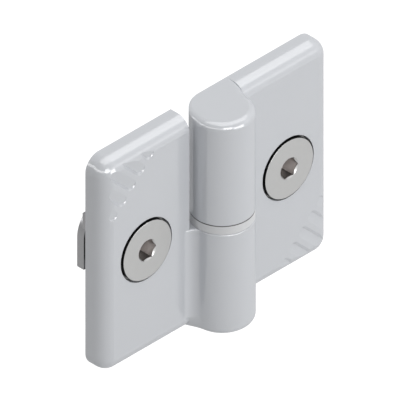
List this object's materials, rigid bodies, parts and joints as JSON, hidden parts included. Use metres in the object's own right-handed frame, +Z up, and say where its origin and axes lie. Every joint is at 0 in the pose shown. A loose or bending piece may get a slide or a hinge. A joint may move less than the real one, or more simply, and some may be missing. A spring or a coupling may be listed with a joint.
{
  "type": "lift-off hinge",
  "caption": "Lift-off hinge for slotted frame profile: cast leaves that swing on a pin and lift apart, held by countersunk hex socket screws and slot nuts.",
  "frame": {"origin": "on the frame leaf's mounting face, on the axis of its screw, at mid-height", "axes": "+X along the leaves from the frame leaf to the door leaf, +Y out of the back into the frame, +Z up the hinge pin"},
  "size_m": [0.0742, 0.025, 0.0596],
  "materials": {
    "leaf_paint": "satin light grey paint",
    "bright_steel": "smooth bright steel",
    "plated_steel": "plated steel",
    "bearing_plastic": "grey bearing plastic"
  },
  "bodies": {
    "frame": {"frame_leaf": "leaf_paint", "hinge_pin": "bright_steel", "frame_screw": "bright_steel", "frame_slot_nut": "plated_steel"},
    "ring": {"bearing_ring": "bearing_plastic"},
    "door": {"door_leaf": "leaf_paint", "pin_bush": "bearing_plastic", "door_screw": "bright_steel", "door_slot_nut": "plated_steel"}
  },
  "joints": [
    {"name": "door_swing", "type": "hinge", "parent": "frame", "child": "ring", "pos_m": [0.02325, -0.0078, 0], "axis": [0, 0, -1], "range_deg": [-80, 180]},
    {"name": "door_lift", "type": "slide", "parent": "ring", "child": "door", "axis": [0, 0, 1], "range_m": [0, 0.024]}
  ]
}
